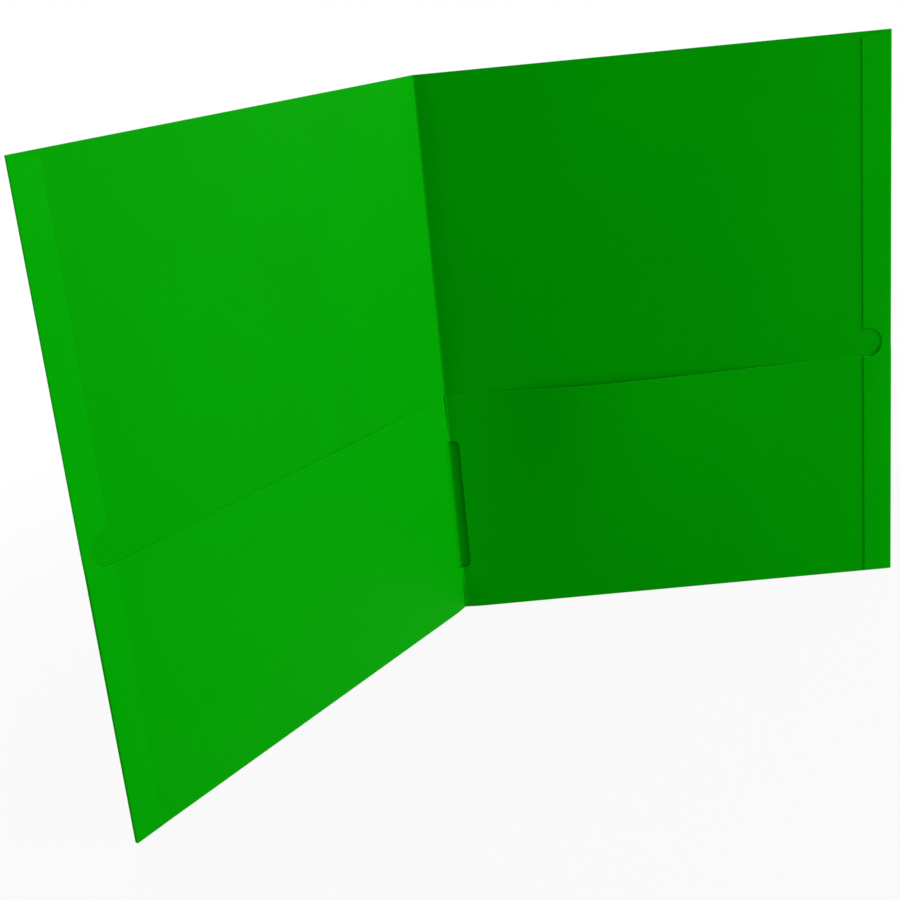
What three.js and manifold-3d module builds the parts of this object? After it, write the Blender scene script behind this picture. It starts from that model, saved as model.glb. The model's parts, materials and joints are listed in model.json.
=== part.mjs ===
// A two-pocket card folder, standing open on its bottom folds, seen from the inside.
// The real folder is one die-cut blank of coated card. It is creased down the middle for the
// spine, folded up along the foot for the two pockets, and folded in along both outer edges
// for the strips that are glued down over the covers and over the pockets' ends.
// Here the blank is split where it creases or flexes, and each stretch is its own solid.
//
// Frame: millimetres, +Z up, the back cover in the XZ plane with its inside towards -Y,
// the front cover swung forward on the left. The origin is under the middle of the folder.

import * as THREE from 'three';
import { mergeVertices } from 'three/addons/utils/BufferGeometryUtils.js';
import Module from 'manifold-3d';

// Sheet sizes
const coverWidth = 241.3;
const coverHeight = 298.45;
const cardThickness = 0.35;
const pocketHeight = 127;

// Glued edge strips, with the D-shaped thumb notch above the pocket's end
const edgeStripWidth = 15;
const stripTopMitre = 3;
const stripEndClearance = 0.5;
const notchHeight = 16;
const notchDepth = 10;
const joggleHeight = 8;

// Slot through the pocket flap on the crease
const slotWidth = 10.4;
const slotHeight = 76;
const slotAboveFoot = 25;
const slotCornerRadius = 3;

// Glue seams
const glueThickness = 0.15;
const glueWidth = 7;
const glueSideInset = 4;
const glueEndInset = 8;

// How the folder stands
const openingAngle = 128;
const backMouthGape = 5;
const frontMouthGape = 1;

// How much of each pocket flexes beside the crease and beside the outer edge; the rest is stiff
const backCreaseFlex = 45;
const backEdgeFlex = 91;
const frontCreaseFlex = 70;
const frontEdgeFlex = 46;

// Creases and the clearances between layers and neighbours
const creaseReach = 1.5;
const foldReach = 1.5;
const footChamfer = 0.25;
const pocketHingeHeight = 0.6;
const seatGap = 0.3;
const layerGap = 0.25;
const closedGap = 0.3;
const flexStandOff = 4;
const cutMargin = 2;

// Roundness
const foldSteps = 8;
const creaseSteps = 8;
const notchSteps = 16;
const cornerSteps = 5;
const joggleSteps = 6;
const backFlexSteps = 8;
const frontFlexSteps = 3;

// Levels through the card, counted from the outer face of a cover towards the reader
const pocketOuterFace = cardThickness + layerGap;
const doubleStack = pocketOuterFace + cardThickness;
const tripleStack = doubleStack + layerGap + cardThickness;
const coverMiddle = cardThickness / 2;
const pocketMiddle = pocketOuterFace + cardThickness / 2;
const axisLevel = tripleStack + closedGap / 2;

// Stations along a cover and up it
const panelStart = creaseReach + seatGap;
const edgeFoldStart = coverWidth - foldReach;
const panelEnd = edgeFoldStart - seatGap;
const stripStart = coverWidth - edgeStripWidth;
const panelFoot = foldReach + seatGap;
const notchTop = pocketHeight + notchHeight;

// The two covers mirror each other; a pocket's stiff panel runs from its start to its end
const back = {
  name: 'back',
  side: 1,
  gape: backMouthGape,
  pocketStart: backCreaseFlex,
  pocketEnd: coverWidth - backEdgeFlex,
  flexSteps: backFlexSteps,
};
const front = {
  name: 'front',
  side: -1,
  gape: frontMouthGape,
  pocketStart: frontCreaseFlex,
  pocketEnd: coverWidth - frontEdgeFlex,
  flexSteps: frontFlexSteps,
};

const foldTurn = THREE.MathUtils.degToRad(180 - openingAngle);
const halfTurn = foldTurn / 2;

const wasm = await Module();
wasm.setup();

// Materials: coated green card, a little lighter on the cover that faces the light, and dried glue

const greens = { back: 0x008700, front: 0x00a000, spine: 0x009200 };

function cardMaterial(colour) {
  return new THREE.MeshStandardMaterial({ color: colour, roughness: 0.55, metalness: 0 });
}

function glueMaterial() {
  return new THREE.MeshStandardMaterial({ color: 0xe8e0c8, roughness: 0.4, metalness: 0 });
}

function piece(name, geometry, material) {
  const mesh = new THREE.Mesh(geometry, material);
  mesh.name = name;
  return mesh;
}

// Closed solids from rings of points

function signedVolume(positions, faces) {
  let total = 0;
  for (let i = 0; i < faces.length; i += 3) {
    const [a, b, c] = [0, 1, 2].map((k) => new THREE.Vector3().fromArray(positions, faces[i + k] * 3));
    total += a.dot(b.cross(c)) / 6;
  }
  return total;
}

const dropZ = (point) => new THREE.Vector2(point.x, point.y);
const dropX = (point) => new THREE.Vector2(point.y, point.z);

// Skins a row of rings that all have the same number of points, and caps both ends
function loft(rings, flatten = dropZ) {
  const clockwise = THREE.ShapeUtils.area(rings[0].map(flatten)) < 0;
  const ordered = rings.map((ring) => (clockwise ? [...ring].reverse() : ring));
  const count = ordered[0].length;
  const positions = ordered.flat().flatMap((point) => point.toArray());
  const faces = [];
  for (let ring = 0; ring < ordered.length - 1; ring += 1) {
    for (let i = 0; i < count; i += 1) {
      const next = (i + 1) % count;
      const a = ring * count + i;
      const b = ring * count + next;
      faces.push(a, b, b + count, a, b + count, a + count);
    }
  }
  const last = (ordered.length - 1) * count;
  for (const [a, b, c] of THREE.ShapeUtils.triangulateShape(ordered[0].map(flatten), [])) {
    faces.push(c, b, a);
  }
  for (const [a, b, c] of THREE.ShapeUtils.triangulateShape(ordered.at(-1).map(flatten), [])) {
    faces.push(last + a, last + b, last + c);
  }
  if (signedVolume(positions, faces) < 0) {
    faces.reverse();
  }
  return facetedGeometry(positions, faces);
}

function facetedGeometry(positions, faces) {
  const geometry = new THREE.BufferGeometry();
  geometry.setAttribute('position', new THREE.Float32BufferAttribute(positions, 3));
  geometry.setIndex(faces);
  const faceted = geometry.toNonIndexed();
  faceted.computeVertexNormals();
  return faceted;
}

// Cutting one solid with another

function toSolid(geometry) {
  const bare = geometry.clone();
  bare.deleteAttribute('normal');
  bare.deleteAttribute('uv');
  const merged = mergeVertices(bare, 1e-4);
  return new wasm.Manifold(new wasm.Mesh({
    numProp: 3,
    vertProperties: new Float32Array(merged.attributes.position.array),
    triVerts: new Uint32Array(merged.index.array),
  }));
}

function cutAway(geometry, cutter) {
  const mesh = toSolid(geometry).subtract(toSolid(cutter)).getMesh();
  return facetedGeometry(Array.from(mesh.vertProperties), Array.from(mesh.triVerts));
}

// A cover's own frame: along = distance from the crease, level = depth through the card from
// its outer face, height above the foot. Both covers use it, mirrored by their side.

function onCover(cover, along, level, height) {
  return new THREE.Vector3(cover.side * along, axisLevel - level, height);
}

function slab(cover, along, level, height) {
  const low = onCover(cover, along[0], level[1], height[0]);
  const high = onCover(cover, along[1], level[0], height[1]);
  const size = high.clone().sub(low);
  const geometry = new THREE.BoxGeometry(Math.abs(size.x), size.y, size.z);
  const middle = low.add(high).multiplyScalar(0.5);
  return geometry.translate(middle.x, middle.y, middle.z);
}

function smoothStep(value, from, to) {
  return THREE.MathUtils.smoothstep(value, Math.min(from, to), Math.max(from, to));
}

// The stack is three cards thick over the pocket and two above it. The fold and the strip step
// down between the two beside the thumb notch.
function stackAt(height) {
  return THREE.MathUtils.lerp(tripleStack, doubleStack, smoothStep(height, pocketHeight, pocketHeight + joggleHeight));
}

function stripHeights() {
  const joggle = [];
  for (let step = 0; step <= joggleSteps; step += 1) {
    joggle.push(pocketHeight + (joggleHeight * step) / joggleSteps);
  }
  return [stripEndClearance, ...joggle, coverHeight - stripEndClearance];
}

// How far the strip's cut top end has dropped, from nothing at the fold to the full mitre inside
function mitreDrop(along) {
  return (stripTopMitre * (coverWidth - along)) / edgeStripWidth;
}

function coverPanel(cover) {
  return slab(cover, [panelStart, panelEnd], [0, cardThickness], [panelFoot, coverHeight]);
}

// The outer edge: the card turns half round from the cover to the strip
function edgeFold(cover) {
  const rings = stripHeights().map((height) => {
    const radius = stackAt(height) / 2;
    const inner = radius - cardThickness;
    const outerPath = [new THREE.Vector2(edgeFoldStart, 0)];
    const innerPath = [new THREE.Vector2(edgeFoldStart, cardThickness)];
    for (let step = 0; step <= foldSteps; step += 1) {
      const turn = (Math.PI * step) / foldSteps;
      const across = Math.sin(turn);
      const through = -Math.cos(turn);
      outerPath.push(new THREE.Vector2(coverWidth - radius + radius * across, radius + radius * through));
      innerPath.push(new THREE.Vector2(coverWidth - radius + inner * across, radius + inner * through));
    }
    outerPath.push(new THREE.Vector2(edgeFoldStart, 2 * radius));
    innerPath.push(new THREE.Vector2(edgeFoldStart, 2 * radius - cardThickness));
    const outline = [...outerPath, ...innerPath.reverse()];
    return outline.map((point) => onCover(cover, point.x, point.y, height));
  });
  return loft(rings);
}

// The strip: one ribbon of card down the whole edge, with the thumb notch cut in its free side
function edgeStrip(cover) {
  const heights = stripHeights();
  const rings = heights.map((height, index) => {
    const stack = stackAt(height);
    const corners = [[stripStart, stack - cardThickness], [panelEnd, stack - cardThickness],
      [panelEnd, stack], [stripStart, stack]];
    const mitred = index === heights.length - 1;
    return corners.map(([along, level]) => {
      const drop = mitred ? mitreDrop(along) : 0;
      return onCover(cover, along, level, height - drop);
    });
  });
  return cutAway(loft(rings), notchCutter(cover));
}

function notchCutter(cover) {
  const radius = notchHeight / 2;
  const arcCentre = stripStart + notchDepth - radius;
  const outline = [[Math.min(stripStart, arcCentre) - cutMargin, pocketHeight]];
  for (let step = 0; step <= notchSteps; step += 1) {
    const turn = (Math.PI * step) / notchSteps;
    outline.push([arcCentre + radius * Math.sin(turn), pocketHeight + radius - radius * Math.cos(turn)]);
  }
  outline.push([Math.min(stripStart, arcCentre) - cutMargin, notchTop]);
  const levels = [0, tripleStack + cutMargin];
  const rings = levels.map((level) => outline.map(([along, height]) => onCover(cover, along, level, height)));
  return loft(rings, (point) => new THREE.Vector2(point.x, point.z));
}

// The foot: the card turns up from the cover into the pocket, pressed flat where it stands
function bottomFold(cover) {
  const outline = [
    [0, foldReach], [0, footChamfer], [footChamfer, 0], [doubleStack - footChamfer, 0],
    [doubleStack, footChamfer], [doubleStack, foldReach], [pocketOuterFace, foldReach],
    [pocketOuterFace, cardThickness], [cardThickness, cardThickness], [cardThickness, foldReach],
  ];
  const ends = [panelStart, panelEnd];
  const rings = ends.map((along) => outline.map(([level, height]) => onCover(cover, along, level, height)));
  return loft(rings, dropX);
}

// Pockets

function gapeAngle(cover) {
  return Math.atan(cover.gape / (pocketHeight - pocketHingeHeight));
}

function gapeAt(cover, height) {
  return (height - pocketHingeHeight) * Math.tan(gapeAngle(cover));
}

// The stiff panel swings on the bottom fold, so it is built round that hinge line
function pocketPanel(cover) {
  const hinge = new THREE.Group();
  hinge.position.copy(onCover(cover, 0, pocketMiddle, pocketHingeHeight));
  hinge.rotation.x = gapeAngle(cover);
  const width = cover.pocketEnd - cover.pocketStart;
  const height = pocketHeight - panelFoot;
  const geometry = new THREE.BoxGeometry(width, cardThickness, height);
  const middle = (cover.pocketStart + cover.pocketEnd) / 2;
  geometry.translate(cover.side * middle, 0, panelFoot + height / 2 - pocketHingeHeight);
  hinge.add(piece(`${cover.name}_pocket_panel`, geometry, cardMaterial(greens[cover.name])));
  return hinge;
}

// The outer end of the flap flexes from the gaping panel down to the cover, and lies flat
// between the cover and the glued strip
function pocketMargin(cover) {
  const flexStart = cover.pocketEnd + seatGap;
  const flexEnd = stripStart - flexStandOff;
  const tuckedEnd = coverWidth - tripleStack / 2 - seatGap;
  const stations = [];
  for (let step = 0; step <= cover.flexSteps; step += 1) {
    stations.push(THREE.MathUtils.lerp(flexStart, flexEnd, step / cover.flexSteps));
  }
  stations.push(tuckedEnd);
  const rings = [panelFoot, pocketHeight].map((height) => {
    const level = (along) => pocketMiddle + gapeAt(cover, height) * (1 - smoothStep(along, cover.pocketEnd, flexEnd));
    const outer = stations.map((along) => onCover(cover, along, level(along) - cardThickness / 2, height));
    const inner = stations.map((along) => onCover(cover, along, level(along) + cardThickness / 2, height));
    return [...outer, ...inner.reverse()];
  });
  return loft(rings);
}

// Glue: a band between strip and cover above the notch, and one between strip and pocket below it

function glueSeam(cover, stack, height) {
  const along = [stripStart + glueSideInset, stripStart + glueSideInset + glueWidth];
  const middle = stack - cardThickness - layerGap / 2;
  const level = [middle - glueThickness / 2, middle + glueThickness / 2];
  return slab(cover, along, level, height);
}

// The two pieces that cross the spine, seen from above in a frame that halves the fold.
// A point on a cover turns with that cover, and the crease is an arc about the fold's axis.

function acrossSpine(side, along, level) {
  const direction = new THREE.Vector2(side * Math.cos(halfTurn), -Math.sin(halfTurn));
  const inward = new THREE.Vector2(-side * Math.sin(halfTurn), -Math.cos(halfTurn));
  return {
    point: direction.multiplyScalar(along).addScaledVector(inward, level - axisLevel),
    inward,
  };
}

function creaseArc(level) {
  const radius = axisLevel - level;
  const path = [];
  for (let step = 0; step <= creaseSteps; step += 1) {
    const turn = THREE.MathUtils.lerp(halfTurn, -halfTurn, step / creaseSteps);
    const inward = new THREE.Vector2(-Math.sin(turn), -Math.cos(turn));
    path.push({ point: inward.clone().multiplyScalar(-radius), inward });
  }
  return path;
}

function ribbonRing(path, height) {
  const face = (offset) => path.map(({ point, inward }) => {
    const moved = point.clone().addScaledVector(inward, offset);
    return new THREE.Vector3(moved.x, moved.y, height);
  });
  return [...face(-cardThickness / 2), ...face(cardThickness / 2).reverse()];
}

function spineCrease() {
  const path = [
    acrossSpine(back.side, creaseReach, coverMiddle),
    ...creaseArc(coverMiddle),
    acrossSpine(front.side, creaseReach, coverMiddle),
  ];
  return loft([seatGap, coverHeight].map((height) => ribbonRing(path, height)));
}

function webStations(cover, height) {
  const stations = [];
  const flexEnd = cover.pocketStart - seatGap;
  for (let step = 0; step <= cover.flexSteps; step += 1) {
    const along = THREE.MathUtils.lerp(flexStandOff, flexEnd, step / cover.flexSteps);
    const rise = gapeAt(cover, height) * smoothStep(along, flexStandOff, cover.pocketStart);
    stations.push(acrossSpine(cover.side, along, pocketMiddle + rise));
  }
  return stations;
}

function pocketSpineWeb() {
  const rings = [panelFoot, pocketHeight].map((height) => {
    const path = [...webStations(back, height).reverse(), ...creaseArc(pocketMiddle), ...webStations(front, height)];
    return ribbonRing(path, height);
  });
  return cutAway(loft(rings), slotCutter());
}

function slotCutter() {
  const halfWidth = (slotWidth / 2) * Math.cos(halfTurn);
  const corner = Math.min(slotCornerRadius, halfWidth, slotHeight / 2);
  const slotTop = slotAboveFoot + slotHeight;
  const corners = [
    { x: halfWidth - corner, z: slotAboveFoot + corner, from: -Math.PI / 2 },
    { x: halfWidth - corner, z: slotTop - corner, from: 0 },
    { x: corner - halfWidth, z: slotTop - corner, from: Math.PI / 2 },
    { x: corner - halfWidth, z: slotAboveFoot + corner, from: Math.PI },
  ];
  const outline = corners.flatMap(({ x, z, from }) => {
    const arc = [];
    for (let step = 0; step <= cornerSteps; step += 1) {
      const turn = from + (Math.PI / 2) * (step / cornerSteps);
      arc.push([x + corner * Math.cos(turn), z + corner * Math.sin(turn)]);
    }
    return arc;
  });
  const depths = [-slotWidth - cutMargin, slotWidth + cutMargin];
  const rings = depths.map((depth) => outline.map(([x, z]) => new THREE.Vector3(x, depth, z)));
  return loft(rings, (point) => new THREE.Vector2(point.x, point.z));
}

// Assembly

function coverAssembly(cover) {
  const group = new THREE.Group();
  const card = () => cardMaterial(greens[cover.name]);
  group.add(piece(`${cover.name}_cover_panel`, coverPanel(cover), card()));
  group.add(piece(`${cover.name}_edge_fold`, edgeFold(cover), card()));
  group.add(piece(`${cover.name}_edge_strip`, edgeStrip(cover), card()));
  group.add(piece(`${cover.name}_bottom_fold`, bottomFold(cover), card()));
  group.add(piece(`${cover.name}_pocket_margin`, pocketMargin(cover), card()));
  group.add(pocketPanel(cover));
  const upper = glueSeam(cover, doubleStack, [notchTop + glueEndInset, coverHeight - glueEndInset]);
  const lower = glueSeam(cover, tripleStack, [glueEndInset, pocketHeight - glueEndInset]);
  group.add(piece(`${cover.name}_strip_glue_upper`, upper, glueMaterial()));
  group.add(piece(`${cover.name}_strip_glue_lower`, lower, glueMaterial()));
  return group;
}

const backCover = coverAssembly(back);
const frontCover = coverAssembly(front);
frontCover.rotation.z = foldTurn;

const spine = new THREE.Group();
spine.rotation.z = halfTurn;
spine.add(piece('spine_crease', spineCrease(), cardMaterial(greens.spine)));
spine.add(piece('pocket_spine_web', pocketSpineWeb(), cardMaterial(greens.spine)));

const folder = new THREE.Group();
folder.add(backCover, frontCover, spine);

// The origin goes under the middle of the folder's box
folder.updateMatrixWorld(true);
const box = new THREE.Box3().setFromObject(folder, true);
const middle = box.getCenter(new THREE.Vector3());
folder.position.set(-middle.x, -middle.y, -box.min.z);
folder.updateMatrixWorld(true);

export default folder;
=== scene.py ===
"""A two-pocket folder of green card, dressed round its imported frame.

The real folder is one creased blank. Here each stretch of it is a sheet of card with its true
thickness: the two covers, the folds at the foot and the outer edges, the glued strips, the pocket
flap and the two creases that cross the spine. Lengths are in millimetres until they reach Blender.
"""

import json
import logging
import math
from contextlib import contextmanager
from dataclasses import dataclass
from enum import Enum
from typing import Any, Callable, Iterator, Sequence

import bmesh
import bpy
from mathutils import Matrix, Vector

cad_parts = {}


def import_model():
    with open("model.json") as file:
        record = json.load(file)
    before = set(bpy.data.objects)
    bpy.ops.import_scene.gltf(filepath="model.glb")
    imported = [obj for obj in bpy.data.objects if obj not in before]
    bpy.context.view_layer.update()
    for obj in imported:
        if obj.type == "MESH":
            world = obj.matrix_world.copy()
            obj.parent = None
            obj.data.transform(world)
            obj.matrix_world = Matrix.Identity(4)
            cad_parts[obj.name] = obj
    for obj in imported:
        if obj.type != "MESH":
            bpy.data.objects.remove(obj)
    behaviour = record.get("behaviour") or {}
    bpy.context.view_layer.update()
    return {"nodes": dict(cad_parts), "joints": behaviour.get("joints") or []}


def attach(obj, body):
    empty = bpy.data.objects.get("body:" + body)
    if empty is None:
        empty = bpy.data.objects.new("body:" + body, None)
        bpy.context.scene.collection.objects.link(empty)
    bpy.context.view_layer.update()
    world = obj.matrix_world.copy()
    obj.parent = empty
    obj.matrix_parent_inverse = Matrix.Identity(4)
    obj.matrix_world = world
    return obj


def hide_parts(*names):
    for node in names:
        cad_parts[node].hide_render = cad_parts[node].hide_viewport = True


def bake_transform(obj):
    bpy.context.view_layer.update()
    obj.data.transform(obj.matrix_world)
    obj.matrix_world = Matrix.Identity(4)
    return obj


LOG = logging.getLogger("pocket_folder")
MM = 0.001
WHITE = (1.0, 1.0, 1.0, 1.0)
# Two places nearer to each other than this, in mm, count as one.
NEAR = 0.005
# The way from the open folder to its reader.
READER = Vector((0.0, -1.0, 0.0))
# Card bends more sharply than this at its cut edges alone.
CRISP_ANGLE = math.radians(28.0)

Test = Callable[[Vector], bool]


class Side(Enum):
    """The two covers; the value is the sign of the direction in which each one leaves the spine."""

    BACK = 1
    FRONT = -1

    @property
    def label(self) -> str:
        """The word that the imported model's names begin with."""
        return self.name.lower()


class Coat(Enum):
    """The slots of a sheet's materials, in the order in which Solidify numbers them."""

    NEAR_FACE = 0
    FAR_FACE = 1
    CUT_EDGE = 2


def smooth_share(value: float, start: float, end: float) -> float:
    """How far a value has come from start to end, eased at both.

    Args:
        value: The place along the way.
        start: Where the share is 0.
        end: Where the share is 1.

    Returns:
        A share from 0 to 1.
    """
    share = min(1.0, max(0.0, (value - start) / (end - start)))
    return share * share * (3.0 - 2.0 * share)


def metres(point: Sequence[float]) -> Vector:
    """A point in millimetres as Blender's vector in metres."""
    return Vector(point) * MM


def shades(tone: Sequence[float], spread: float) -> tuple[tuple[float, ...], tuple[float, ...]]:
    """A darker and a lighter colour, each that share of the tone away from it."""
    dark = (*[level * (1.0 - spread) for level in tone], 1.0)
    light = (*[level * (1.0 + spread) for level in tone], 1.0)
    return dark, light


def deselect_all() -> None:
    """Clears the selection, which holds the CAD nodes after they are loaded."""
    bpy.ops.object.select_all(action="DESELECT")


def focus(obj: bpy.types.Object) -> None:
    """Makes one object the only selected and the active one."""
    deselect_all()
    obj.select_set(True)
    bpy.context.view_layer.objects.active = obj


@dataclass(frozen=True)
class CardStock:
    """Sizes of the card and its layers, which both covers share."""

    thickness: float = 0.35
    axis_level: float = 1.70
    cover_level: float = 0.175
    pocket_level: float = 0.775
    strip_level: float = 1.275
    cover_width: float = 241.3
    cover_height: float = 298.45
    pocket_height: float = 127.0
    foot_stub: float = 1.8


@dataclass(frozen=True)
class SpinePlace:
    """Where the covers' hinge stands, and how far the front cover is swung forward from flat."""

    hinge_x: float
    hinge_y: float
    turn: float = math.radians(52.0)

    def seat(self, obj: bpy.types.Object, turned: bool) -> None:
        """Moves a finished piece from the workbench to its place in the row frame.

        Args:
            obj: The piece, modelled with the hinge at the origin and the cover along X.
            turned: Whether it belongs to the front cover, which is swung forward.
        """
        focus(obj)
        obj.rotation_euler = (0.0, 0.0, self.turn if turned else 0.0)
        obj.location = (self.hinge_x, self.hinge_y, 0.0)
        bpy.ops.object.transform_apply(location=True, rotation=True, scale=True)


class Sheet:
    """A piece of card on the workbench: first its middle surface, then a solid."""

    def __init__(self, name: str, low: Sequence[float], high: Sequence[float], columns: int = 1,
                 rows: int = 1) -> None:
        """Lays out an upright rectangle that faces the reader.

        Args:
            name: The piece's name.
            low: Its lowest corner, in mm.
            high: Its highest corner, in mm, at the same depth.
            columns: Faces along X.
            rows: Faces up Z.
        """
        start, end = Vector(low), Vector(high)
        deselect_all()
        bpy.ops.mesh.primitive_grid_add(
            x_subdivisions=columns, y_subdivisions=rows, size=1.0,
            location=metres((start + end) / 2), rotation=(math.pi / 2, 0.0, 0.0))
        self.obj = bpy.context.active_object
        self.obj.name = name
        self.obj.data.name = name
        self.obj.scale = ((end.x - start.x) * MM, (end.z - start.z) * MM, 1.0)
        bpy.ops.object.transform_apply(location=True, rotation=True, scale=True)

    @contextmanager
    def editing(self) -> Iterator[None]:
        """Edit mode for the length of a with block, picking by vertices."""
        focus(self.obj)
        bpy.ops.object.mode_set(mode="EDIT")
        bpy.ops.mesh.select_mode(type="VERT")
        yield
        bpy.ops.object.mode_set(mode="OBJECT")

    def pick(self, test: Test) -> None:
        """Selects the vertices whose place in mm passes the test, and what lies between them."""
        bpy.ops.mesh.select_all(action="DESELECT")
        mesh = bmesh.from_edit_mesh(self.obj.data)
        for vert in mesh.verts:
            vert.select = test(vert.co / MM)
        mesh.select_flush_mode()
        bmesh.update_edit_mesh(self.obj.data)

    @staticmethod
    def extrude(offset: Sequence[float]) -> None:
        """Extrudes what is selected by an offset in mm."""
        bpy.ops.mesh.extrude_region_move(TRANSFORM_OT_translate={"value": metres(offset)})

    @staticmethod
    def spin(centre: Sequence[float], axis: Sequence[float], angle: float, steps: int) -> None:
        """Sweeps the selected edges round an axis through a centre in mm, by the right-hand rule."""
        bpy.ops.mesh.spin(steps=steps, angle=-angle, center=metres(centre), axis=axis)

    @staticmethod
    def turn(centre: Sequence[float], axis: str, angle: float) -> None:
        """Turns what is selected about a world axis through a centre in mm, by the right-hand rule."""
        bpy.ops.transform.rotate(value=-angle, orient_axis=axis, orient_type="GLOBAL",
                                 center_override=metres(centre))

    def face_along(self, probe: Sequence[float], direction: Vector) -> None:
        """Makes all faces agree, so that the one nearest the probe looks along the direction.

        Args:
            probe: A place in mm.
            direction: The way that the face there looks.
        """
        with self.editing():
            bpy.ops.mesh.select_all(action="SELECT")
            bpy.ops.mesh.remove_doubles(threshold=NEAR * MM)
            bpy.ops.mesh.normals_make_consistent(inside=False)
            mesh = bmesh.from_edit_mesh(self.obj.data)
            place = metres(probe)
            nearest = min(mesh.faces, key=lambda face: (face.calc_center_median() - place).length)
            if nearest.normal.dot(direction) < 0.0:
                bpy.ops.mesh.flip_normals()

    def modify(self, kind: str, **settings: Any) -> None:
        """Adds a modifier with its settings and applies it."""
        focus(self.obj)
        modifier = self.obj.modifiers.new(kind.title(), kind)
        for key, value in settings.items():
            setattr(modifier, key, value)
        bpy.ops.object.modifier_apply(modifier=modifier.name)

    def thicken(self, thickness: float, coats: Sequence[bpy.types.Material]) -> None:
        """Gives the middle surface the card's thickness and its three finishes.

        Args:
            thickness: The card's thickness in mm.
            coats: Materials for the face along the normals, the other face and the cut edges.
        """
        for coat in coats:
            self.obj.data.materials.append(coat)
        self.modify("SOLIDIFY", thickness=thickness * MM, offset=0.0, use_even_offset=True,
                    material_offset=Coat.FAR_FACE.value, material_offset_rim=Coat.CUT_EDGE.value)

    def cut(self, cutter: bpy.types.Object) -> None:
        """Takes a cutter's shape out of the solid and throws the cutter away."""
        cutter.data.materials.append(self.obj.data.materials[Coat.CUT_EDGE.value])
        self.modify("BOOLEAN", object=cutter, operation="DIFFERENCE", solver="MANIFOLD")
        bpy.data.objects.remove(cutter)

    def paint(self, coat: Coat, test: Callable[[Vector, Vector], bool]) -> None:
        """Gives a coat to the faces whose centre in mm and normal pass the test."""
        for face in self.obj.data.polygons:
            if test(face.center / MM, face.normal):
                face.material_index = coat.value

    def close(self) -> bpy.types.Object:
        """Smooths the folds, leaves the card's edges crisp and gives the piece back."""
        focus(self.obj)
        bpy.ops.object.shade_smooth_by_angle(angle=CRISP_ANGLE)
        LOG.info("%s: %d faces", self.obj.name, len(self.obj.data.polygons))
        return self.obj


class Value:
    """A number that varies over a surface, which Python's own signs add Math nodes to."""

    def __init__(self, shader: "Shader", socket: bpy.types.NodeSocket) -> None:
        """Wraps an output socket of the shader's tree."""
        self.shader = shader
        self.socket = socket

    def math(self, operation: str, *operands: Any) -> "Value":
        """The result of a Math node whose first input is this value."""
        inputs = dict(enumerate((self, *operands)))
        node = self.shader.node("ShaderNodeMath", {"operation": operation}, inputs)
        return Value(self.shader, node.outputs[0])

    def __add__(self, other: Any) -> "Value":
        """This value plus another."""
        return self.math("ADD", other)

    __radd__ = __add__

    def __sub__(self, other: Any) -> "Value":
        """This value less another."""
        return self.math("SUBTRACT", other)

    def __rsub__(self, other: float) -> "Value":
        """A number less this value."""
        return (self * -1.0) + other

    def __mul__(self, other: Any) -> "Value":
        """This value times another."""
        return self.math("MULTIPLY", other)

    __rmul__ = __mul__

    def ramp(self, start: float, end: float) -> "Value":
        """The eased share of the way from start to end, from 0 to 1."""
        settings = {"interpolation_type": "SMOOTHSTEP"}
        inputs = {"Value": self, "From Min": start, "From Max": end, "To Min": 0.0, "To Max": 1.0}
        node = self.shader.node("ShaderNodeMapRange", settings, inputs)
        return Value(self.shader, node.outputs[0])


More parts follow.
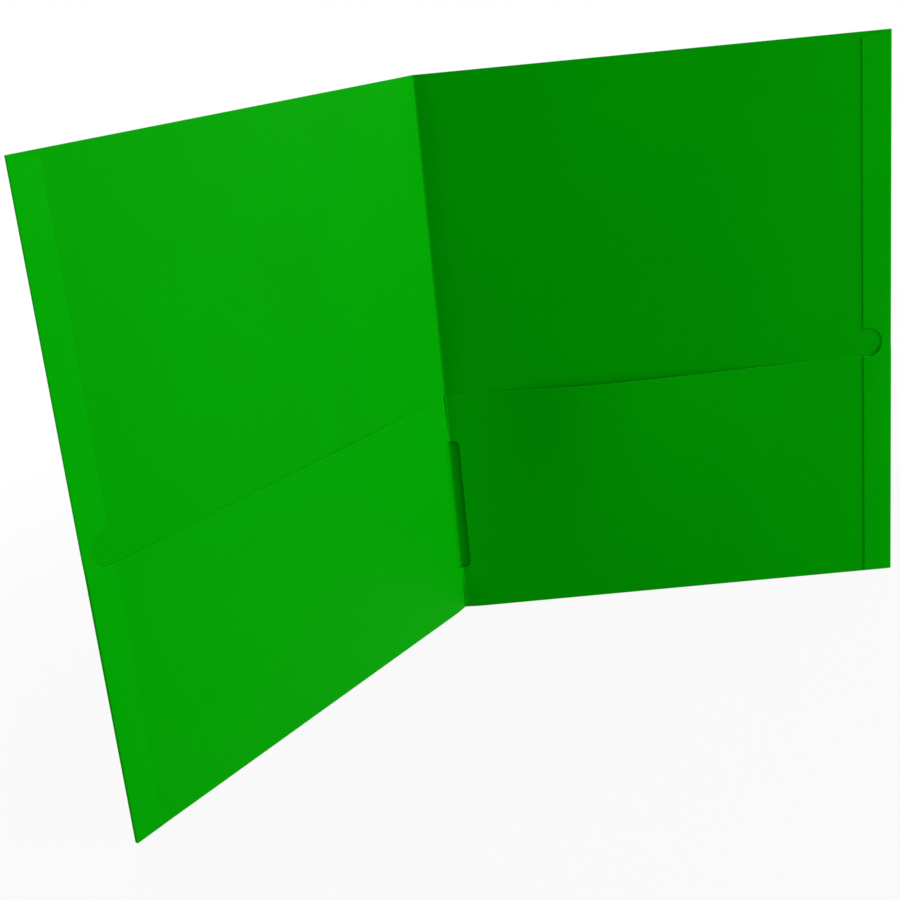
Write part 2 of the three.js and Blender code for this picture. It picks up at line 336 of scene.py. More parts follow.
class Shader:
    """The node tree of a material or of the world, built by one method."""

    def __init__(self, owner: bpy.types.Material | bpy.types.World, output: str) -> None:
        """Empties the owner's node tree and starts it with an output node of that type."""
        owner.use_nodes = True
        self.owner = owner
        self.tree = owner.node_tree
        self.tree.nodes.clear()
        self.output = self.node(output)

    @classmethod
    def for_material(cls, name: str) -> "Shader":
        """The node tree of a new material."""
        return cls(bpy.data.materials.new(name), "ShaderNodeOutputMaterial")

    def node(self, kind: str, settings: dict[str, Any] | None = None,
             inputs: dict[Any, Any] | None = None) -> bpy.types.Node:
        """Adds a node, sets its settings, and then sets or links its sockets.

        Args:
            kind: The node's type.
            settings: Its own settings, such as an operation.
            inputs: Numbers, colours, values or sockets by socket name or number.

        Returns:
            The new node.
        """
        made = self.tree.nodes.new(kind)
        for key, value in (settings or {}).items():
            setattr(made, key, value)
        for key, value in (inputs or {}).items():
            self.feed(made.inputs[key], value)
        return made

    def feed(self, socket: bpy.types.NodeSocket, value: Any) -> None:
        """Sets a socket to a number or colour, or links a value or socket to it."""
        if isinstance(value, Value):
            value = value.socket
        if isinstance(value, bpy.types.NodeSocket):
            self.tree.links.new(value, socket)
        else:
            socket.default_value = value

    def place(self) -> bpy.types.NodeSocket:
        """The point's own place on the object, in metres."""
        return self.node("ShaderNodeTexCoord").outputs["Object"]

    def noise(self, per_metre: float, detail: float = 2.0, roughness: float = 0.5) -> Value:
        """Even noise from 0 to 1, with so many bumps to the metre."""
        inputs = {"Vector": self.place(), "Scale": per_metre, "Detail": detail, "Roughness": roughness}
        return Value(self, self.node("ShaderNodeTexNoise", None, inputs).outputs["Fac"])

    def pebbles(self, per_metre: float) -> Value:
        """Rounded cells, highest in the middle, with so many to the metre."""
        inputs = {"Vector": self.place(), "Scale": per_metre, "Smoothness": 0.6}
        made = self.node("ShaderNodeTexVoronoi", {"feature": "SMOOTH_F1"}, inputs)
        return 1.0 - Value(self, made.outputs["Distance"])

    def vector(self, operation: str, *operands: Any) -> bpy.types.Node:
        """A Vector Math node on its operands."""
        return self.node("ShaderNodeVectorMath", {"operation": operation}, dict(enumerate(operands)))

    def stroke(self, start: Vector, end: Vector, half_width: float) -> Value:
        """A mask that is 1 on a short line through the object and fades out beside it.

        Args:
            start: One end of the line, in metres.
            end: The other end.
            half_width: How far from the line the mask reaches, in metres.

        Returns:
            The mask.
        """
        line = end - start
        offset = self.vector("SUBTRACT", self.place(), start).outputs[0]
        share = Value(self, self.vector("DOT_PRODUCT", offset, line / line.length_squared).outputs["Value"])
        share = share.math("MAXIMUM", 0.0).math("MINIMUM", 1.0)
        across = self.node("ShaderNodeVectorMath", {"operation": "SCALE"}, {0: line, "Scale": share})
        gap = self.vector("DISTANCE", offset, across.outputs[0]).outputs["Value"]
        return 1.0 - Value(self, gap).ramp(half_width * 0.3, half_width)

    def blend_colours(self, share: Value, first: Any, second: Any) -> bpy.types.NodeSocket:
        """A mix of two colours by a share."""
        settings = {"data_type": "RGBA"}
        return self.node("ShaderNodeMix", settings, {0: share, 6: first, 7: second}).outputs[2]

    def blend_surfaces(self, share: Any, first: bpy.types.Node, second: bpy.types.Node) -> bpy.types.Node:
        """A mix of two surfaces by a share."""
        return self.node("ShaderNodeMixShader", None, {0: share, 1: first.outputs[0], 2: second.outputs[0]})

    def finish(self, surface: bpy.types.Node) -> bpy.types.Material | bpy.types.World:
        """Links a surface to the output and gives the material or the world back."""
        self.feed(self.output.inputs["Surface"], surface.outputs[0])
        return self.owner


@dataclass(frozen=True)
class Scuff:
    """A faint rubbed line, from one point to another in the row frame, in mm."""

    start: tuple[float, float, float]
    end: tuple[float, float, float]
    half_width: float = 0.35


@dataclass(frozen=True)
class CardFinish:
    """The coated face of the card: an even green with a faint pressed grain."""

    name: str
    tone: tuple[float, float, float]
    mottle: float = 0.03
    grain: float = 0.16
    roughness: float = 0.52
    scuffs: tuple[Scuff, ...] = ()

    def build(self) -> bpy.types.Material:
        """Makes the material."""
        shader = Shader.for_material(self.name)
        clouds = shader.noise(14.0, 3.0)
        fibres = shader.noise(420.0, 4.0, 0.6)
        pebbles = shader.pebbles(1150.0)
        shade = clouds * 0.6 + fibres * 0.4
        colour = shader.blend_colours(shade.ramp(0.3, 0.7), *shades(self.tone, self.mottle))
        rubbed = None
        for scuff in self.scuffs:
            mask = shader.stroke(metres(scuff.start), metres(scuff.end), scuff.half_width * MM)
            rubbed = mask if rubbed is None else rubbed.math("MAXIMUM", mask)
        roughness = fibres * 0.12 + (self.roughness - 0.06)
        if rubbed is not None:
            worn = rubbed * (fibres.ramp(0.35, 0.6) * 0.32)
            paler = (*[min(1.0, c * 1.35 + 0.015) for c in self.tone], 1.0)
            colour = shader.blend_colours(worn, colour, paler)
            roughness = roughness + worn * 0.3
        relief = pebbles * 0.7 + fibres * 0.3
        bump = shader.node("ShaderNodeBump", None,
                           {"Strength": self.grain, "Distance": 0.00006, "Height": relief})
        surface = shader.node("ShaderNodeBsdfPrincipled", None, {
            "Base Color": colour, "Roughness": roughness, "Normal": bump.outputs[0],
            "Specular IOR Level": 0.08, "Specular Tint": (0.02, 1.0, 0.02, 1.0)})
        return shader.finish(surface)


@dataclass(frozen=True)
class CutEdgeFinish:
    """The raw edge where the die cut the card: the same dye, drier and fibrous."""

    name: str = "card_cut_edge"
    tone: tuple[float, float, float] = (0.015, 0.48, 0.015)
    mottle: float = 0.15

    def build(self) -> bpy.types.Material:
        """Makes the material."""
        shader = Shader.for_material(self.name)
        fibres = shader.noise(900.0, 3.0, 0.65)
        colour = shader.blend_colours(fibres.ramp(0.3, 0.7), *shades(self.tone, self.mottle))
        bump = shader.node("ShaderNodeBump", None,
                           {"Strength": 0.3, "Distance": 0.00005, "Height": fibres})
        surface = shader.node("ShaderNodeBsdfPrincipled", None, {
            "Base Color": colour, "Roughness": 0.85, "Normal": bump.outputs[0],
            "Specular IOR Level": 0.1})
        return shader.finish(surface)


@dataclass(frozen=True)
class GlueFinish:
    """Dried glue between the layers: a cloudy cream film with small bubbles."""

    name: str = "dried_glue_film"
    thick: tuple[float, ...] = (0.72, 0.66, 0.48, 1.0)
    thin: tuple[float, ...] = (0.86, 0.82, 0.68, 1.0)

    def build(self) -> bpy.types.Material:
        """Makes the material."""
        shader = Shader.for_material(self.name)
        clouds = shader.noise(160.0, 3.0)
        bubbles = shader.pebbles(900.0)
        colour = shader.blend_colours(clouds.ramp(0.3, 0.7), self.thick, self.thin)
        bump = shader.node("ShaderNodeBump", None,
                           {"Strength": 0.4, "Distance": 0.00008, "Height": bubbles})
        surface = shader.node("ShaderNodeBsdfPrincipled", None, {
            "Base Color": colour, "Roughness": clouds * 0.2 + 0.3, "Normal": bump.outputs[0]})
        return shader.finish(surface)


@dataclass(frozen=True)
class Palette:
    """The folder's materials. The blank's outer coat shows on the strips and outside; its lighter green is
    partly painted light, standing in for the light that the strips catch.
    """

    inner: bpy.types.Material
    outer: bpy.types.Material
    flap: bpy.types.Material
    edge: bpy.types.Material
    glue: bpy.types.Material

    def cover_coats(self) -> list[bpy.types.Material]:
        """Coats of a cover, whose normals leave the blank's inner coat."""
        return [self.inner, self.outer, self.edge]

    def strip_coats(self) -> list[bpy.types.Material]:
        """Coats of a strip, whose normals leave the blank's outer coat, a lighter green that is partly
        painted light.
        """
        return [self.outer, self.inner, self.edge]

    def flap_coats(self) -> list[bpy.types.Material]:
        """Coats of the pocket flap, whose normals leave its shown face."""
        return [self.flap, self.inner, self.edge]

    def crease_coats(self) -> list[bpy.types.Material]:
        """Coats of the flap's crease, whose normals leave its hidden face."""
        return [self.inner, self.flap, self.edge]


@dataclass
class CoverHalf:
    """One cover with its folds, glued strip and half of the pocket flap.

    Lengths across the cover are measured from the spine, and heights from the foot, in mm.

    Attributes:
        gape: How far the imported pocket's mouth stands off the cover at rest.
        seam: Where the flap's two pieces meet.
        flank_in: Where the flap starts and stops leaving the cover.
        flank_out: Where it starts and stops coming back to it.
        joggle: The height over which the strip steps down past the pocket's top.
        sunk: The share of its height above the cover that it loses there.
        press: How far its inner edge is pressed down.
    """

    side: Side
    stock: CardStock
    place: SpinePlace
    palette: Palette
    gape: float
    seam: float
    flank_in: tuple[float, float]
    flank_out: tuple[float, float]
    crease_reach: float = 14.0
    fold_start: float = 239.5
    flap_end: float = 240.2
    strip_start: float = 226.3
    strip_foot: float = 0.5
    strip_top: float = 298.45
    strip_mitre: float = 3.0
    top_blunt: float = 0.3
    foot_blunt: float = 0.6
    joggle: float = 8.0
    joggle_steps: int = 8
    sunk: float = 0.59
    press: float = 0.09
    notch_height: float = 16.0
    notch_centre: float = 228.3
    notch_margin: float = 0.3
    hinge_height: float = 0.6
    inner_columns: int = 28
    outer_columns: int = 44
    flap_rows: int = 10

    def at(self, along: float, level: float, height: float) -> Vector:
        """A point of this cover on the workbench, in mm, with the hinge at the origin."""
        return Vector((self.side.value * along, self.stock.axis_level - level, height))

    def blank(self, part: str, along: tuple[float, float], level: float,
              height: tuple[float, float], columns: int = 1, rows: int = 1) -> Sheet:
        """A flat sheet of this cover, between two distances from the spine and two heights."""
        ends = sorted(self.side.value * u for u in along)
        depth = self.stock.axis_level - level
        name = f"{self.side.label}_{part}"
        return Sheet(name, (ends[0], depth, height[0]), (ends[1], depth, height[1]), columns, rows)

    def beside(self, along: float) -> Test:
        """A test for points at one distance from the spine."""
        return lambda p: abs(p.x * self.side.value - along) < NEAR

    def settle(self, sheet: Sheet, *nodes: str) -> bpy.types.Object:
        """Finishes a sheet, seats it in the row frame and hides the nodes that it stands for."""
        obj = sheet.close()
        self.place.seat(obj, self.side is Side.FRONT)
        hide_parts(*[f"{self.side.label}_{node}" for node in nodes])
        return obj

    def leaf(self) -> None:
        """The cover itself, from beside the crease to the outer fold."""
        stock = self.stock
        sheet = self.blank("cover_leaf", (self.crease_reach, self.fold_start), stock.cover_level,
                           (stock.foot_stub, stock.cover_height), 4, 4)
        sheet.thicken(stock.thickness, self.palette.cover_coats())
        sheet.paint(Coat.FAR_FACE, lambda c, n: abs(n.x) > 0.5 or n.z < -0.5)
        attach(self.settle(sheet, "cover_panel"), f"{self.side.label}_cover")

    def foot_fold(self) -> None:
        """The card turned up at the foot, from the cover into the pocket flap."""
        stock = self.stock
        middle = (stock.cover_level + stock.pocket_level) / 2
        radius = (stock.pocket_level - stock.cover_level) / 2
        bend = radius + stock.thickness / 2
        sheet = self.blank("foot_fold", (self.crease_reach, self.fold_start), stock.cover_level,
                           (bend, stock.foot_stub))
        with sheet.editing():
            sheet.pick(lambda p: abs(p.z - bend) < NEAR)
            sheet.spin(self.at(0.0, middle, bend), (1.0, 0.0, 0.0), -math.pi, 10)
            sheet.extrude((0.0, 0.0, stock.foot_stub - bend))
        sheet.face_along(self.at(120.0, stock.cover_level, 1.5), READER)
        sheet.thicken(stock.thickness, self.palette.cover_coats())
        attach(self.settle(sheet, "bottom_fold"), f"{self.side.label}_cover")

    def edge_strip(self) -> None:
        """The outer edge folded in and glued down, stepped over the pocket, with its notch."""
        stock = self.stock
        full = (stock.strip_level - stock.cover_level) / 2
        centre = stock.cover_width - full - stock.thickness / 2
        middle = stock.cover_level + full
        pocket_top = stock.pocket_height
        sheet = self.blank("edge_strip_card", (self.strip_start, centre), stock.strip_level,
                           (self.strip_foot, pocket_top))
        sign = self.side.value
        with sheet.editing():
            sheet.pick(self.beside(centre))
            sheet.spin(self.at(centre, middle, 0.0), (0.0, 0.0, 1.0), math.pi * sign, 12)
            sheet.extrude((sign * (self.fold_start - centre), 0.0, 0.0))
            sheet.pick(lambda p: abs(p.z - pocket_top) < NEAR)
            self.step_down(sheet)
            sheet.extrude((0.0, 0.0, self.strip_top - pocket_top - self.joggle))
            self.mitre(sheet)
            sheet.pick(self.beside(self.strip_start))
            bpy.ops.transform.translate(value=(0.0, self.press * MM, 0.0))
        sheet.face_along(self.at(230.0, stock.strip_level, 60.0), READER)
        sheet.thicken(stock.thickness, self.palette.strip_coats())
        sheet.cut(self.notch_cutter())
        low = pocket_top - self.notch_margin
        high = pocket_top + self.notch_height + self.notch_margin
        reach = self.notch_centre + self.notch_height / 2 + self.notch_margin
        sheet.paint(Coat.CUT_EDGE,
                    lambda c, n: abs(n.y) < 0.6 and sign * c.x < reach and low < c.z < high)
        cover_face = stock.axis_level - stock.thickness
        sheet.paint(Coat.NEAR_FACE, lambda c, n: sign * c.x < self.fold_start + NEAR
                    and sign * n.x < -0.5 and c.y > cover_face - NEAR)
        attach(self.settle(sheet, "edge_fold", "edge_strip"), f"{self.side.label}_cover")

    def step_down(self, sheet: Sheet) -> None:
        """Extrudes the ribbon's top past the pocket's edge while it sinks on to the cover."""
        before = 1.0
        for step in range(1, self.joggle_steps + 1):
            sheet.extrude((0.0, 0.0, self.joggle / self.joggle_steps))
            after = 1.0 - self.sunk * smooth_share(step / self.joggle_steps, 0.0, 1.0)
            bpy.ops.transform.resize(
                value=(1.0, after / before, 1.0), orient_type="GLOBAL",
                center_override=metres(self.at(0.0, self.stock.cover_level, 0.0)))
            before = after

    def mitre(self, sheet: Sheet) -> None:
        """Cuts the ribbon's top end on the slant and blunts its two outer corners."""
        width = self.stock.cover_width
        sign = self.side.value
        run = self.fold_start - self.strip_start
        for place, normal in (
                (self.at(self.fold_start, 0.0, self.strip_top), (-sign * self.strip_mitre, 0.0, run)),
                (self.at(width, 0.0, self.strip_top - self.top_blunt), (sign, 0.0, 1.0)),
                (self.at(width, 0.0, self.strip_foot + self.foot_blunt), (sign, 0.0, -1.0))):
            bpy.ops.mesh.select_all(action="SELECT")
            bpy.ops.mesh.bisect(plane_co=metres(place), plane_no=Vector(normal).normalized(),
                                clear_outer=True)

    def notch_cutter(self) -> bpy.types.Object:
        """A D-shaped bar, its round side away from the spine."""
        radius = self.notch_height / 2
        length = 12.0
        place = self.at(self.notch_centre, self.stock.pocket_level, self.stock.pocket_height + radius)
        deselect_all()
        bpy.ops.mesh.primitive_cylinder_add(
            vertices=64, radius=radius * MM, depth=length * MM, rotation=(math.pi / 2, 0.0, 0.0),
            location=metres(place))
        cutter = bpy.context.active_object
        bpy.ops.object.transform_apply(location=True, rotation=True, scale=True)
        for vert in cutter.data.vertices:
            if vert.co.x * self.side.value < self.notch_centre * MM - 1e-6:
                vert.co.x -= self.side.value * length * MM
        return cutter

    def lean(self, sheet: Sheet, columns: int, along: tuple[float, float],
             share_of: Callable[[float], float]) -> None:
        """Turns each column of a flap about the foot by its share of the gape.

        Args:
            sheet: The flap's sheet, with its columns evenly spaced.
            columns: How many faces it has along the foot.
            along: Its two ends, in mm from the spine.
            share_of: The share of the gape at a distance from the spine.
        """
        full = math.atan2(self.gape, self.stock.pocket_height - self.hinge_height)
        hinge = self.at(0.0, self.stock.pocket_level, self.hinge_height)
        with sheet.editing():
            for column in range(columns + 1):
                station = along[0] + (along[1] - along[0]) * column / columns
                share = share_of(station)
                if share > 0.0:
                    sheet.pick(self.beside(station))
                    sheet.turn(hinge, "X", full * share)

    def flap(self, part: str, along: tuple[float, float], columns: int, flank: tuple[float, float],
             bodies: tuple[str, str], nodes: Sequence[str]) -> None:
        """Half of this side's pocket flap, which leans out from the cover, or back to it, over its flank.

        Args:
            part: The piece's name without its side.
            along: Its two ends, in mm from the spine.
            columns: How many faces it has along the foot.
            flank: Where it starts and stops bending away from the first body.
            bodies: The body before the flank and the one after it.
            nodes: The nodes that it stands for.
        """
        stock = self.stock
        rising = bodies[1].endswith("pocket")
        sheet = self.blank(part, along, stock.pocket_level, (stock.foot_stub, stock.pocket_height),
                           columns, self.flap_rows)

        def share_of(station: float) -> float:
            share = smooth_share(station, *flank)
            return share if rising else 1.0 - share

        self.lean(sheet, columns, along, share_of)
        sheet.thicken(stock.thickness, self.palette.flap_coats())
        sheet.paint(Coat.NEAR_FACE, lambda c, n: abs(n.x) > 0.7 or n.z < -0.7)
        obj = self.settle(sheet, *nodes)
        ends = [self.in_row_frame(self.at(station, stock.pocket_level, 0.0)) for station in flank]
        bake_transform(obj)

    def in_row_frame(self, point: Vector) -> Vector:
        """A workbench point of this cover, in metres, where it stands in the row frame."""
        turn = self.place.turn if self.side is Side.FRONT else 0.0
        base = Vector((self.place.hinge_x, self.place.hinge_y, 0.0))
        return base + Matrix.Rotation(turn, 3, "Z") @ metres(point)

    def build(self) -> None:
        """Makes every piece of this cover."""
        label = self.side.label
        cover, pocket = f"{label}_cover", f"{label}_pocket"
        self.leaf()
        self.foot_fold()
        self.edge_strip()
        self.flap("pocket_flap_inner", (self.crease_reach, self.seam), self.inner_columns,
                  self.flank_in, (cover, pocket), ["pocket_panel"])
        self.flap("pocket_flap_outer", (self.seam, self.flap_end), self.outer_columns,
                  self.flank_out, (pocket, cover), ["pocket_margin"])


@dataclass
class Spine:
    """The two stretches of card that cross the spine, with the slot through the flap.

    Attributes:
        reach: How far from the spine the card starts to curve.
        tab: The flat stretch past it on each side.
        ease: The angle of the gentle curve on each side of the crease.
        lift: How far the flap's crease stands off the covers' crease.
        buckle: The depth of the W that the flap's spare card makes at the foot.
        ridges: Each ridge's reach from the crease in mm, and its share of the buckle.
        flap_depth: What is nearer to the reader than this, in mm, is the flap.
    """

    stock: CardStock
    place: SpinePlace
    palette: Palette
    reach: float = 12.0
    tab: float = 2.0
    ease: float = math.radians(6.7)
    ease_radius: float = 102.0
    slot_foot: float = 25.0
    slot_height: float = 76.0
    slot_half_width: float = 4.3
    slot_corner: float = 3.5
    slot_margin: float = 0.2
    lift: float = 0.85
    lift_height: float = 18.0
    buckle: float = 0.45
    buckle_top: float = 23.0
    buckle_rows: int = 11
    ridges: tuple[tuple[float, float], ...] = ((0.75, 0.6), (0.5, 0.6), (0.28, 0.5))
    flap_depth: float = 1.82
    bend_reach: float = 4.0

    def outward(self) -> Vector:
        """The way from the reader to the crease, which halves the fold."""
        return Matrix.Rotation(self.place.turn / 2, 3, "Z") @ Vector((0.0, 1.0, 0.0))

    def sideways(self) -> Vector:
        """The way across the crease, towards the back cover."""
        half = self.place.turn / 2
        return Vector((math.cos(half), math.sin(half), 0.0))

    def off_crease(self, point: Vector) -> float:
        """How far a workbench point stands to the side of the crease, in mm."""
        return abs((Matrix.Rotation(-self.place.turn / 2, 3, "Z") @ point).x)

    def ease_centre(self) -> Vector:
        """The far centre of the gentle curve beside the crease on the back cover."""
        depth = self.stock.axis_level - self.stock.cover_level + self.ease_radius
        return Vector((self.reach, depth, 0.0))

    def across(self, point: Vector) -> Vector:
        """A workbench point of the back side, mirrored to the front side."""
        axis = self.sideways()
        return point - 2.0 * point.dot(axis) * axis

    def crease_centre(self) -> Vector:
        """The centre of the tight curve, on the line that halves the fold."""
        half = self.place.turn / 2
        arm = Matrix.Rotation(-self.ease, 3, "Z") @ Vector((0.0, -self.ease_radius, 0.0))
        start = self.ease_centre() + arm
        outward = Vector((-math.sin(half), math.cos(half), 0.0))
        radius = start.dot(self.sideways()) / math.sin(half + self.ease)
        return outward * (start.dot(outward) - radius * math.cos(half + self.ease))

    def wrap(self, sheet: Sheet) -> None:
        """Carries a narrow upright strip of card round the crease to the front side."""
        upward = (0.0, 0.0, 1.0)
        tight = self.place.turn + 2.0 * self.ease
        front = Matrix.Rotation(self.place.turn, 3, "Z") @ Vector((-self.tab, 0.0, 0.0))
        with sheet.editing():
            sheet.pick(lambda p: abs(p.x - self.reach) < NEAR)
            sheet.spin(self.ease_centre(), upward, -self.ease, 8)
            sheet.spin(self.crease_centre(), upward, tight, 12)
            sheet.spin(self.across(self.ease_centre()), upward, -self.ease, 8)
            sheet.extrude(front)

    def settle(self, sheet: Sheet, node: str) -> None:
        """Seats a spine piece and hides the node that it stands for."""
        obj = sheet.close()
        self.place.seat(obj, False)
        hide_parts(node)
        step = self.sideways() * self.bend_reach * MM
        base = Vector((self.place.hinge_x, self.place.hinge_y, 0.0))
        base + step
        base - step
        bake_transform(obj)

    def cover_crease(self) -> None:
        """The crease between the two covers."""
        stock = self.stock
        depth = stock.axis_level - stock.cover_level
        sheet = Sheet("spine_crease_card", (self.reach, depth, stock.foot_stub),
                      (self.reach + self.tab, depth, stock.cover_height))
        self.wrap(sheet)
        sheet.face_along((self.reach + 1.0, depth, 150.0), READER)
        sheet.thicken(stock.thickness, self.palette.cover_coats())
        sheet.paint(Coat.FAR_FACE, lambda c, n: n.z < -0.5)
        self.settle(sheet, "spine_crease")

    def flap_crease(self) -> None:
        """The flap's crease with the fold under it, the long slot and the buckled foot."""
        stock = self.stock
        depth = stock.axis_level - stock.cover_level
        flap_depth = stock.axis_level - stock.pocket_level
        middle = (depth + flap_depth) / 2
        bend = (depth - flap_depth) / 2 + stock.thickness / 2
        sheet = Sheet("pocket_crease_card", (self.reach, depth, bend),
                      (self.reach + self.tab, depth, stock.foot_stub))
        with sheet.editing():
            sheet.pick(lambda p: abs(p.z - bend) < NEAR)
            sheet.spin((0.0, middle, bend), (1.0, 0.0, 0.0), -math.pi, 10)
            sheet.extrude((0.0, 0.0, stock.foot_stub - bend))
            rise, rows = self.buckle_top - stock.foot_stub, self.buckle_rows
            heights = [stock.foot_stub + row * rise / rows for row in range(rows + 1)]
            heights += [self.slot_foot + self.slot_height + 2.0, stock.pocket_height]
            for below, above in zip(heights, heights[1:]):
                sheet.extrude((0.0, 0.0, above - below))
        self.wrap(sheet)
        self.stand_off(sheet)
        self.crumple(sheet)
        sheet.face_along((self.reach + 1.0, depth, 1.2), READER)
        sheet.thicken(stock.thickness, self.palette.crease_coats())
        sheet.cut(self.slot_cutter())
        low = self.slot_foot - self.slot_margin
        high = self.slot_foot + self.slot_height + self.slot_margin
        reach = self.slot_half_width + self.slot_margin
        outward = self.outward()
        sheet.paint(Coat.CUT_EDGE, lambda c, n: abs(n.dot(outward)) < 0.6 and low < c.z < high
                    and self.off_crease(c) < reach)
        self.settle(sheet, "pocket_spine_web")

    def stand_off(self, sheet: Sheet) -> None:
        """Draws the flap's crease forward of the covers' crease, with eased flanks."""
        with sheet.editing():
            sheet.pick(lambda p: p.z > self.lift_height and self.off_crease(p) < 0.05)
            bpy.ops.transform.translate(
                value=-self.outward() * self.lift * MM, use_proportional_edit=True,
                proportional_edit_falloff="SMOOTH", proportional_size=self.reach * MM,
                use_proportional_connected=True)

    def crumple(self, sheet: Sheet) -> None:
        """Presses the spare card at the foot of the flap's crease into a W."""
        heights = sorted({round(v.co.z / MM, 3) for v in sheet.obj.data.vertices})
        with sheet.editing():
            for height in heights:
                if height < self.stock.foot_stub - NEAR:
                    continue
                fall = smooth_share(height, 8.0, self.slot_foot + 4.0)
                amount = self.buckle * (1.0 - fall)
                for reach, share in self.ridges:
                    sheet.pick(lambda p: abs(p.z - height) < NEAR and self.off_crease(p) < reach
                               and p.dot(self.outward()) < self.flap_depth)
                    bpy.ops.transform.translate(value=-self.outward() * amount * share * MM)

    def slot_cutter(self) -> bpy.types.Object:
        """A bar with rounded corners that stands across the crease."""
        deselect_all()
        bpy.ops.mesh.primitive_cube_add(size=1.0)
        cutter = bpy.context.active_object
        cutter.scale = (2 * self.slot_half_width * MM, 24 * MM, self.slot_height * MM)
        bpy.ops.object.transform_apply(location=False, rotation=False, scale=True)
        bpy.ops.object.mode_set(mode="EDIT")
        bpy.ops.mesh.select_mode(type="EDGE")
        bpy.ops.mesh.select_all(action="DESELECT")
        mesh = bmesh.from_edit_mesh(cutter.data)
        for edge in mesh.edges:
            edge.select = abs(edge.verts[0].co.y - edge.verts[1].co.y) > 1e-4
        bmesh.update_edit_mesh(cutter.data)
        bpy.ops.mesh.bevel(offset=self.slot_corner * MM, segments=8, affect="EDGES")
        bpy.ops.object.mode_set(mode="OBJECT")
        cutter.rotation_euler = (0.0, 0.0, self.place.turn / 2)
        cutter.location = (0.0, 0.0, (self.slot_foot + self.slot_height / 2) * MM)
        bpy.ops.object.transform_apply(location=True, rotation=True, scale=True)
        return cutter

    def build(self) -> None:
        """Makes both spine pieces."""
        self.cover_crease()
        self.flap_crease()


@dataclass(frozen=True)
class Lamp:
    """A square soft lamp that looks at a target, in metres and watts."""

    name: str
    place: tuple[float, float, float]
    target: tuple[float, float, float]
    size: float
    power: float

    def build(self) -> None:
        """Hangs the lamp."""
        deselect_all()
        bpy.ops.object.light_add(type="AREA", location=self.place)
        lamp = bpy.context.active_object
        lamp.name = self.name
        lamp.data.size = self.size
        lamp.data.energy = self.power
        aim = Vector(self.target) - Vector(self.place)
        lamp.rotation_euler = aim.to_track_quat("-Z", "Y").to_euler()


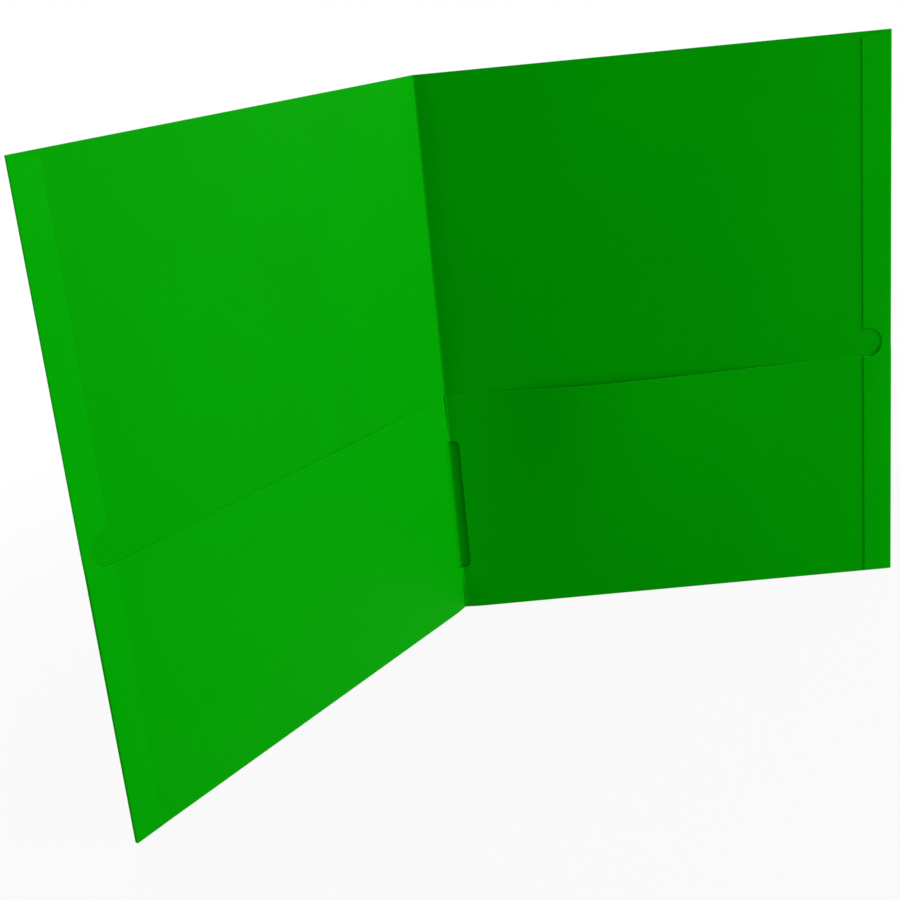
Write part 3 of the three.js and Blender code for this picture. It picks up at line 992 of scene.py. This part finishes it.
@dataclass(frozen=True)
class Studio:
    """The pale room: floor, backdrop, lamps and the camera at the photograph's viewing angle."""

    camera_place: tuple[float, float, float] = (-0.03425, -0.5833, 0.35023)
    camera_turn: tuple[float, float, float] = (73.2638, 5.3611, -0.9681)
    camera_lens: float = 52.702
    camera_shift: float = -0.1
    world_level: float = 0.77
    floor_white: float = 0.93
    fade_start: float = 0.25
    fade_end: float = 0.6
    lamps: tuple[Lamp, ...] = (
        Lamp("key_softbox", (1.345, -0.35, 0.46), (-0.02, 0.02, 0.13), 0.85, 22.6),
        Lamp("rear_softbox", (-0.35, 1.3, 0.6), (-0.02, 0.05, 0.15), 0.9, 12.0),
    )

    def camera(self) -> None:
        """Stands the camera up."""
        deselect_all()
        bpy.ops.object.camera_add(location=self.camera_place,
                                  rotation=[math.radians(a) for a in self.camera_turn])
        camera = bpy.context.active_object
        camera.name = "studio_camera"
        camera.data.lens = self.camera_lens
        camera.data.sensor_width = 36.0
        camera.data.shift_y = self.camera_shift
        camera.data.clip_start = 0.01
        camera.data.clip_end = 60.0
        bpy.context.scene.camera = camera

    def floor(self) -> None:
        """Lays the floor, which shows white to the camera but keeps the folder's shadow."""
        deselect_all()
        bpy.ops.mesh.primitive_plane_add(size=12.0)
        floor = bpy.context.active_object
        floor.name = "studio_floor"
        shader = Shader.for_material("floor_white")
        shown = self.background_rays(shader)
        distance = Value(shader, shader.vector("LENGTH", shader.place()).outputs["Value"])
        far = distance.ramp(self.fade_start, self.fade_end)
        white = far * (1.0 - self.floor_white) + self.floor_white
        matte = shader.node("ShaderNodeBsdfDiffuse", None, {"Color": (0.3, 0.3, 0.3, 1.0)})
        glow = shader.node("ShaderNodeEmission", None, {"Color": WHITE, "Strength": 1.0})
        above = shader.blend_surfaces(shown * white, matte, glow)
        beneath = shader.node("ShaderNodeNewGeometry").outputs["Backfacing"]
        clear = shader.node("ShaderNodeBsdfTransparent")
        floor.data.materials.append(shader.finish(shader.blend_surfaces(beneath, above, clear)))

    @staticmethod
    def background_rays(shader: Shader) -> Value:
        """1 for the rays that see the background: the camera's, mirrored and refracted ones."""
        path = shader.node("ShaderNodeLightPath")
        seen = Value(shader, path.outputs["Is Camera Ray"])
        for ray in ("Is Glossy Ray", "Is Transmission Ray"):
            seen = seen.math("MAXIMUM", Value(shader, path.outputs[ray]))
        return seen

    def world(self) -> None:
        """Fills the room with even light and shows white behind the folder."""
        world = bpy.data.worlds.new("studio_world")
        bpy.context.scene.world = world
        shader = Shader(world, "ShaderNodeOutputWorld")
        light = shader.node("ShaderNodeBackground", None, {"Color": WHITE, "Strength": self.world_level})
        white = shader.node("ShaderNodeBackground", None, {"Color": WHITE, "Strength": 1.0})
        shader.finish(shader.blend_surfaces(self.background_rays(shader), light, white))

    def build(self) -> None:
        """Sets up the whole room."""
        self.camera()
        self.floor()
        self.world()
        for lamp in self.lamps:
            lamp.build()
        bpy.context.scene.view_settings.view_transform = "Standard"


def make_palette() -> Palette:
    """Mixes the folder's materials."""
    scuffs = (
        Scuff((-91.5, 36.0, 34.0), (-103.0, 22.5, 40.5)),
        Scuff((-140.5, -25.5, 37.0), (-147.0, -34.0, 43.0), 0.3),
    )
    inner = CardFinish("green_card_inner_coat", (0.0, 0.262, 0.0))
    # The outer coat is the blank's other side, made lighter than the inner coat: partly painted light that
    # stands in for the light the strips catch.
    outer = CardFinish("green_card_outer_coat_and_painted_light", (0.0, 0.285, 0.0))
    flap = CardFinish("green_card_flap_coat", (0.0, 0.273, 0.0), scuffs=scuffs)
    return Palette(inner.build(), outer.build(), flap.build(), CutEdgeFinish().build(),
                   GlueFinish().build())


def dress_glue(nodes: dict[str, bpy.types.Object], glue: bpy.types.Material) -> None:
    """Gives the hidden glue seams, which stay as packed, their own finish."""
    for name, node in nodes.items():
        if "_glue_" in name:
            node.data.materials.clear()
            node.data.materials.append(glue)
            LOG.info("%s: packed seam kept", name)


def main() -> None:
    """Builds the studio and the folder in order."""
    logging.basicConfig(level=logging.INFO, format="%(name)s %(message)s")
    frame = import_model()
    Studio().build()
    hinge = next(joint for joint in frame["joints"] if joint["name"] == "cover_fold")["pos_m"]
    place = SpinePlace(hinge[0], hinge[1])
    stock = CardStock()
    palette = make_palette()
    back = CoverHalf(Side.BACK, stock, place, palette, gape=5.0, seam=83.0,
                     flank_in=(14.0, 80.0), flank_out=(86.0, 206.0))
    front = CoverHalf(Side.FRONT, stock, place, palette, gape=1.0, seam=76.0,
                      flank_in=(14.0, 204.0), flank_out=(-210.9, 215.0))
    for cover in (back, front):
        cover.build()
    Spine(stock, place, palette).build()
    dress_glue(frame["nodes"], palette.glue)


if __name__ == "__main__":
    main()
